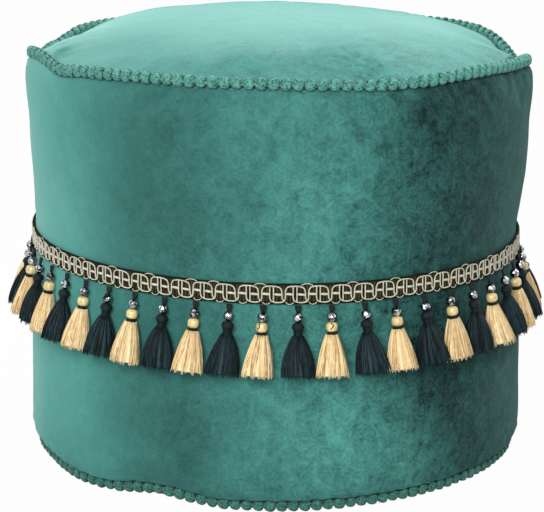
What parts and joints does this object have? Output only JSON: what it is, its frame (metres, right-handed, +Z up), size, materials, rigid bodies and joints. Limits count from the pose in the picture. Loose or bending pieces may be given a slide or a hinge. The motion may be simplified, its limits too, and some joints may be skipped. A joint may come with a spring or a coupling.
{
  "type": "tuffet",
  "caption": "Round velvet tuffet with a domed top, yarn ball trims in both seams, an interlaced braid round its waist and beaded gold and black tassels that swing below it.",
  "frame": {"origin": "on the floor, under the middle of the drum", "axes": "+Z up along the drum's axis; the picture looks along +Y from the front, with +X to its right"},
  "size_m": [0.4926, 0.4924, 0.3895],
  "materials": {
    "velvet": "short pile velvet, soft sheen",
    "base_cloth": "plain woven lining, matt",
    "stuffing": "plain inner case, matt",
    "ball_yarn": "looped yarn, matt",
    "black_weave": "ribbed tape, matt",
    "gold_braid": "satin cord",
    "gold_yarn": "silky yarn",
    "black_yarn": "silky yarn",
    "bead_metal": "polished, faceted",
    "bead_wood": "pale, waxed",
    "zip_nylon": "woven tape and nylon coil",
    "slider_metal": "satin"
  },
  "bodies": {
    "drum": {"inner_cushion": "stuffing", "side_wall": "velvet", "top_panel": "velvet", "base_panel": "base_cloth", "top_ball_trim": "ball_yarn", "base_ball_trim": "ball_yarn", "braid_tape": "black_weave", "braid_scroll": "gold_braid", "zip_chain": "zip_nylon"},
    "zip_slider": {"zip_slider": "slider_metal"},
    "gold_tassel_01": {"gold_tassel_01": "gold_yarn"},
    "black_tassel_01": {"black_tassel_01": "black_yarn"},
    "black_tassel_25": {"black_tassel_25": "black_yarn"},
    "gold_tassel_02": {"gold_tassel_02": "gold_yarn"},
    "gold_tassel_25": {"gold_tassel_25": "gold_yarn"},
    "black_tassel_02": {"black_tassel_02": "black_yarn"},
    "black_tassel_24": {"black_tassel_24": "black_yarn"},
    "gold_tassel_03": {"gold_tassel_03": "gold_yarn"},
    "gold_tassel_24": {"gold_tassel_24": "gold_yarn"},
    "black_tassel_03": {"black_tassel_03": "black_yarn"},
    "black_tassel_23": {"black_tassel_23": "black_yarn"},
    "gold_tassel_04": {"gold_tassel_04": "gold_yarn"},
    "gold_tassel_23": {"gold_tassel_23": "gold_yarn"},
    "black_tassel_04": {"black_tassel_04": "black_yarn"},
    "black_tassel_22": {"black_tassel_22": "black_yarn"},
    "gold_tassel_05": {"gold_tassel_05": "gold_yarn"},
    "gold_tassel_22": {"gold_tassel_22": "gold_yarn"},
    "black_tassel_05": {"black_tassel_05": "black_yarn"},
    "black_tassel_21": {"black_tassel_21": "black_yarn"},
    "gold_tassel_06": {"gold_tassel_06": "gold_yarn"},
    "gold_tassel_21": {"gold_tassel_21": "gold_yarn"},
    "black_tassel_06": {"black_tassel_06": "black_yarn"},
    "black_tassel_20": {"black_tassel_20": "black_yarn"},
    "gold_tassel_07": {"gold_tassel_07": "gold_yarn"},
    "gold_tassel_20": {"gold_tassel_20": "gold_yarn"},
    "black_tassel_07": {"black_tassel_07": "black_yarn"},
    "black_tassel_19": {"black_tassel_19": "black_yarn"},
    "gold_tassel_08": {"gold_tassel_08": "gold_yarn"},
    "gold_tassel_19": {"gold_tassel_19": "gold_yarn"},
    "black_tassel_08": {"black_tassel_08": "black_yarn"},
    "black_tassel_18": {"black_tassel_18": "black_yarn"},
    "gold_tassel_09": {"gold_tassel_09": "gold_yarn"},
    "gold_tassel_18": {"gold_tassel_18": "gold_yarn"},
    "black_tassel_09": {"black_tassel_09": "black_yarn"},
    "black_tassel_17": {"black_tassel_17": "black_yarn"},
    "gold_tassel_10": {"gold_tassel_10": "gold_yarn"},
    "gold_tassel_17": {"gold_tassel_17": "gold_yarn"},
    "black_tassel_10": {"black_tassel_10": "black_yarn"},
    "black_tassel_16": {"black_tassel_16": "black_yarn"},
    "gold_tassel_11": {"gold_tassel_11": "gold_yarn"},
    "gold_tassel_16": {"gold_tassel_16": "gold_yarn"},
    "black_tassel_11": {"black_tassel_11": "black_yarn"},
    "black_tassel_15": {"black_tassel_15": "black_yarn"},
    "gold_tassel_12": {"gold_tassel_12": "gold_yarn"},
    "gold_tassel_15": {"gold_tassel_15": "gold_yarn"},
    "black_tassel_12": {"black_tassel_12": "black_yarn"},
    "black_tassel_14": {"black_tassel_14": "black_yarn"},
    "gold_tassel_13": {"gold_tassel_13": "gold_yarn"},
    "gold_tassel_14": {"gold_tassel_14": "gold_yarn"},
    "black_tassel_13": {"black_tassel_13": "black_yarn"}
  },
  "joints": [
    {"name": "zip_slide", "type": "slide", "parent": "drum", "child": "zip_slider", "axis": [1, 0, 0], "range_m": [0, 0.25]},
    {"name": "gold_tassel_01_swing", "type": "hinge", "parent": "drum", "child": "gold_tassel_01", "pos_m": [-0.01053, -0.22331, 0.18184], "axis": [-0.9989, 0.0471, 0], "range_deg": [0, 100]},
    {"name": "black_tassel_01_swing", "type": "hinge", "parent": "drum", "child": "black_tassel_01", "pos_m": [0.01793, -0.22284, 0.18146], "axis": [-0.9968, -0.0802, 0], "range_deg": [0, 100]},
    {"name": "black_tassel_25_swing", "type": "hinge", "parent": "drum", "child": "black_tassel_25", "pos_m": [-0.03805, -0.22029, 0.18221], "axis": [-0.9854, 0.1702, 0], "range_deg": [0, 100]},
    {"name": "gold_tassel_02_swing", "type": "hinge", "parent": "drum", "child": "gold_tassel_02", "pos_m": [0.04534, -0.21891, 0.18109], "axis": [-0.9792, -0.2028, 0], "range_deg": [0, 100]},
    {"name": "gold_tassel_25_swing", "type": "hinge", "parent": "drum", "child": "gold_tassel_25", "pos_m": [-0.06574, -0.21367, 0.18258], "axis": [-0.9558, 0.294, 0], "range_deg": [0, 100]},
    {"name": "black_tassel_02_swing", "type": "hinge", "parent": "drum", "child": "black_tassel_02", "pos_m": [0.07278, -0.21138, 0.18072], "axis": [-0.9455, -0.3256, 0], "range_deg": [0, 100]},
    {"name": "black_tassel_24_swing", "type": "hinge", "parent": "drum", "child": "black_tassel_24", "pos_m": [-0.09164, -0.20391, 0.18293], "axis": [-0.9121, 0.4099, 0], "range_deg": [0, 100]},
    {"name": "gold_tassel_03_swing", "type": "hinge", "parent": "drum", "child": "gold_tassel_03", "pos_m": [0.09835, -0.20076, 0.18038], "axis": [-0.898, -0.4399, 0], "range_deg": [0, 100]},
    {"name": "gold_tassel_24_swing", "type": "hinge", "parent": "drum", "child": "gold_tassel_24", "pos_m": [-0.11681, -0.19061, 0.18327], "axis": [-0.8526, 0.5225, 0], "range_deg": [0, 100]},
    {"name": "black_tassel_03_swing", "type": "hinge", "parent": "drum", "child": "black_tassel_03", "pos_m": [0.12306, -0.18664, 0.18005], "axis": [-0.8348, -0.5505, 0], "range_deg": [0, 100]},
    {"name": "black_tassel_23_swing", "type": "hinge", "parent": "drum", "child": "black_tassel_23", "pos_m": [-0.13947, -0.17471, 0.18357], "axis": [-0.7815, 0.6239, 0], "range_deg": [0, 100]},
    {"name": "gold_tassel_04_swing", "type": "hinge", "parent": "drum", "child": "gold_tassel_04", "pos_m": [0.14519, -0.16999, 0.17975], "axis": [-0.7604, -0.6494, 0], "range_deg": [0, 100]},
    {"name": "gold_tassel_23_swing", "type": "hinge", "parent": "drum", "child": "gold_tassel_23", "pos_m": [-0.16054, -0.15558, 0.18385], "axis": [-0.6959, 0.7181, 0], "range_deg": [0, 100]},
    {"name": "black_tassel_04_swing", "type": "hinge", "parent": "drum", "child": "black_tassel_04", "pos_m": [0.16561, -0.15017, 0.17948], "axis": [-0.6717, -0.7408, 0], "range_deg": [0, 100]},
    {"name": "black_tassel_22_swing", "type": "hinge", "parent": "drum", "child": "black_tassel_22", "pos_m": [-0.17854, -0.13454, 0.1841], "axis": [-0.6018, 0.7986, 0], "range_deg": [0, 100]},
    {"name": "gold_tassel_05_swing", "type": "hinge", "parent": "drum", "child": "gold_tassel_05", "pos_m": [0.1829, -0.12855, 0.17925], "axis": [-0.575, -0.8181, 0], "range_deg": [0, 100]},
    {"name": "gold_tassel_22_swing", "type": "hinge", "parent": "drum", "child": "gold_tassel_22", "pos_m": [-0.19419, -0.11076, 0.18431], "axis": [-0.4955, 0.8686, 0], "range_deg": [0, 100]},
    {"name": "black_tassel_05_swing", "type": "hinge", "parent": "drum", "child": "black_tassel_05", "pos_m": [0.19775, -0.10426, 0.17905], "axis": [-0.4664, -0.8846, 0], "range_deg": [0, 100]},
    {"name": "black_tassel_21_swing", "type": "hinge", "parent": "drum", "child": "black_tassel_21", "pos_m": [-0.20639, -0.08591, 0.18447], "axis": [-0.3843, 0.9232, 0], "range_deg": [0, 100]},
    {"name": "gold_tassel_06_swing", "type": "hinge", "parent": "drum", "child": "gold_tassel_06", "pos_m": [0.20913, -0.07902, 0.17889], "axis": [-0.3535, -0.9354, 0], "range_deg": [0, 100]},
    {"name": "gold_tassel_21_swing", "type": "hinge", "parent": "drum", "child": "gold_tassel_21", "pos_m": [-0.21563, -0.05899, 0.18459], "axis": [-0.2639, 0.9646, 0], "range_deg": [0, 100]},
    {"name": "black_tassel_06_swing", "type": "hinge", "parent": "drum", "child": "black_tassel_06", "pos_m": [0.21747, -0.05181, 0.17878], "axis": [-0.2317, -0.9728, 0], "range_deg": [0, 100]},
    {"name": "black_tassel_20_swing", "type": "hinge", "parent": "drum", "child": "black_tassel_20", "pos_m": [-0.22127, -0.03189, 0.18467], "axis": [-0.1426, 0.9898, 0], "range_deg": [0, 100]},
    {"name": "gold_tassel_07_swing", "type": "hinge", "parent": "drum", "child": "gold_tassel_07", "pos_m": [0.22221, -0.02453, 0.17872], "axis": [-0.1097, -0.994, 0], "range_deg": [0, 100]},
    {"name": "gold_tassel_20_swing", "type": "hinge", "parent": "drum", "child": "gold_tassel_20", "pos_m": [-0.22353, -0.00351, 0.1847], "axis": [-0.0157, 0.9999, 0], "range_deg": [0, 100]},
    {"name": "black_tassel_07_swing", "type": "hinge", "parent": "drum", "child": "black_tassel_07", "pos_m": [0.22352, 0.0039, 0.1787], "axis": [0.0175, -0.9998, 0], "range_deg": [0, 100]},
    {"name": "black_tassel_19_swing", "type": "hinge", "parent": "drum", "child": "black_tassel_19", "pos_m": [-0.22225, 0.02414, 0.18468], "axis": [0.108, 0.9942, 0], "range_deg": [0, 100]},
    {"name": "gold_tassel_08_swing", "type": "hinge", "parent": "drum", "child": "gold_tassel_08", "pos_m": [0.22133, 0.0315, 0.17873], "axis": [0.1409, -0.99, 0], "range_deg": [0, 100]},
    {"name": "gold_tassel_19_swing", "type": "hinge", "parent": "drum", "child": "gold_tassel_19", "pos_m": [-0.21738, 0.05219, 0.18462], "axis": [0.2334, 0.9724, 0], "range_deg": [0, 100]},
    {"name": "black_tassel_08_swing", "type": "hinge", "parent": "drum", "child": "black_tassel_08", "pos_m": [0.21553, 0.05937, 0.17881], "axis": [0.2656, -0.9641, 0], "range_deg": [0, 100]},
    {"name": "black_tassel_18_swing", "type": "hinge", "parent": "drum", "child": "black_tassel_18", "pos_m": [-0.20926, 0.07866, 0.18451], "axis": [0.3518, 0.9361, 0], "range_deg": [0, 100]},
    {"name": "gold_tassel_09_swing", "type": "hinge", "parent": "drum", "child": "gold_tassel_09", "pos_m": [0.20654, 0.08555, 0.17893], "axis": [0.3827, -0.9239, 0], "range_deg": [0, 100]},
    {"name": "gold_tassel_18_swing", "type": "hinge", "parent": "drum", "child": "gold_tassel_18", "pos_m": [-0.19757, 0.10461, 0.18435], "axis": [0.4679, 0.8838, 0], "range_deg": [0, 100]},
    {"name": "black_tassel_09_swing", "type": "hinge", "parent": "drum", "child": "black_tassel_09", "pos_m": [0.194, 0.1111, 0.1791], "axis": [0.497, -0.8678, 0], "range_deg": [0, 100]},
    {"name": "black_tassel_17_swing", "type": "hinge", "parent": "drum", "child": "black_tassel_17", "pos_m": [-0.18313, 0.12823, 0.18416], "axis": [0.5736, 0.8192, 0], "range_deg": [0, 100]},
    {"name": "gold_tassel_10_swing", "type": "hinge", "parent": "drum", "child": "gold_tassel_10", "pos_m": [0.17877, 0.13423, 0.1793], "axis": [0.6004, -0.7997, 0], "range_deg": [0, 100]},
    {"name": "gold_tassel_17_swing", "type": "hinge", "parent": "drum", "child": "gold_tassel_17", "pos_m": [-0.16535, 0.15046, 0.18392], "axis": [0.673, 0.7396, 0], "range_deg": [0, 100]},
    {"name": "black_tassel_10_swing", "type": "hinge", "parent": "drum", "child": "black_tassel_10", "pos_m": [0.16027, 0.15586, 0.17955], "axis": [0.6972, -0.7169, 0], "range_deg": [0, 100]},
    {"name": "black_tassel_16_swing", "type": "hinge", "parent": "drum", "child": "black_tassel_16", "pos_m": [-0.14549, 0.16974, 0.18365], "axis": [0.7593, 0.6508, 0], "range_deg": [0, 100]},
    {"name": "gold_tassel_11_swing", "type": "hinge", "parent": "drum", "child": "gold_tassel_11", "pos_m": [0.13978, 0.17447, 0.17982], "axis": [0.7804, -0.6252, 0], "range_deg": [0, 100]},
    {"name": "gold_tassel_16_swing", "type": "hinge", "parent": "drum", "child": "gold_tassel_16", "pos_m": [-0.12274, 0.18685, 0.18335], "axis": [0.8358, 0.549, 0], "range_deg": [0, 100]},
    {"name": "black_tassel_11_swing", "type": "hinge", "parent": "drum", "child": "black_tassel_11", "pos_m": [0.11647, 0.19082, 0.18014], "axis": [0.8536, -0.521, 0], "range_deg": [0, 100]},
    {"name": "black_tassel_15_swing", "type": "hinge", "parent": "drum", "child": "black_tassel_15", "pos_m": [-0.0987, 0.20059, 0.18302], "axis": [0.8973, 0.4415, 0], "range_deg": [0, 100]},
    {"name": "gold_tassel_12_swing", "type": "hinge", "parent": "drum", "child": "gold_tassel_12", "pos_m": [0.092, 0.20375, 0.18046], "axis": [0.9114, -0.4115, 0], "range_deg": [0, 100]},
    {"name": "gold_tassel_15_swing", "type": "hinge", "parent": "drum", "child": "gold_tassel_15", "pos_m": [-0.07241, 0.2115, 0.18267], "axis": [0.9461, 0.3239, 0], "range_deg": [0, 100]},
    {"name": "black_tassel_12_swing", "type": "hinge", "parent": "drum", "child": "black_tassel_12", "pos_m": [0.06536, 0.21379, 0.18082], "axis": [0.9563, -0.2924, 0], "range_deg": [0, 100]},
    {"name": "black_tassel_14_swing", "type": "hinge", "parent": "drum", "child": "black_tassel_14", "pos_m": [-0.04572, 0.21883, 0.18231], "axis": [0.9789, 0.2045, 0], "range_deg": [0, 100]},
    {"name": "gold_tassel_13_swing", "type": "hinge", "parent": "drum", "child": "gold_tassel_13", "pos_m": [0.03844, 0.22023, 0.18118], "axis": [0.9851, -0.1719, 0], "range_deg": [0, 100]},
    {"name": "gold_tassel_14_swing", "type": "hinge", "parent": "drum", "child": "gold_tassel_14", "pos_m": [-0.01754, 0.22287, 0.18194], "axis": [0.9969, 0.0785, 0], "range_deg": [0, 100]},
    {"name": "black_tassel_13_swing", "type": "hinge", "parent": "drum", "child": "black_tassel_13", "pos_m": [0.01014, 0.22333, 0.18156], "axis": [0.999, -0.0454, 0], "range_deg": [0, 100]}
  ]
}
